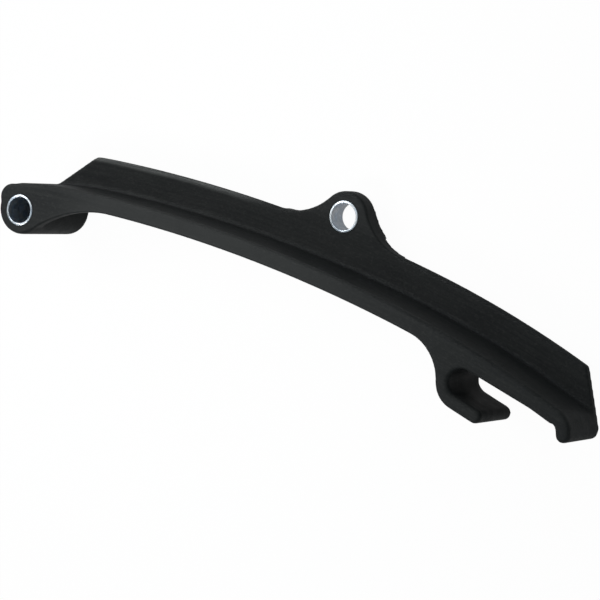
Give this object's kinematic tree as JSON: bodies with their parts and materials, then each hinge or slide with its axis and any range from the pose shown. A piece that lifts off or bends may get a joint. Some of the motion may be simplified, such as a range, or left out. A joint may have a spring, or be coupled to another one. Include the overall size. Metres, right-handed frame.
{
  "type": "timing chain guide",
  "caption": "Curved moulded timing chain guide with an L-section running ledge, a raked web, steel-sleeved bolt points, a fork hook and a curled toe.",
  "frame": {"origin": "on the end bolt's axis, on the face of its sleeve that seats against the engine", "axes": "+X from the end bolt to the middle bolt, along the part; +Y towards the chain side of the ledge; +Z along the bolts towards their heads"},
  "size_m": [0.2027, 0.0821, 0.0288],
  "materials": {
    "nylon": "black glass-filled nylon, satin off the mould",
    "zinc_steel": "bright zinc-plated steel"
  },
  "bodies": {
    "root": {"guide_rail": "nylon", "end_sleeve": "zinc_steel", "mid_sleeve": "zinc_steel"}
  },
  "joints": []
}
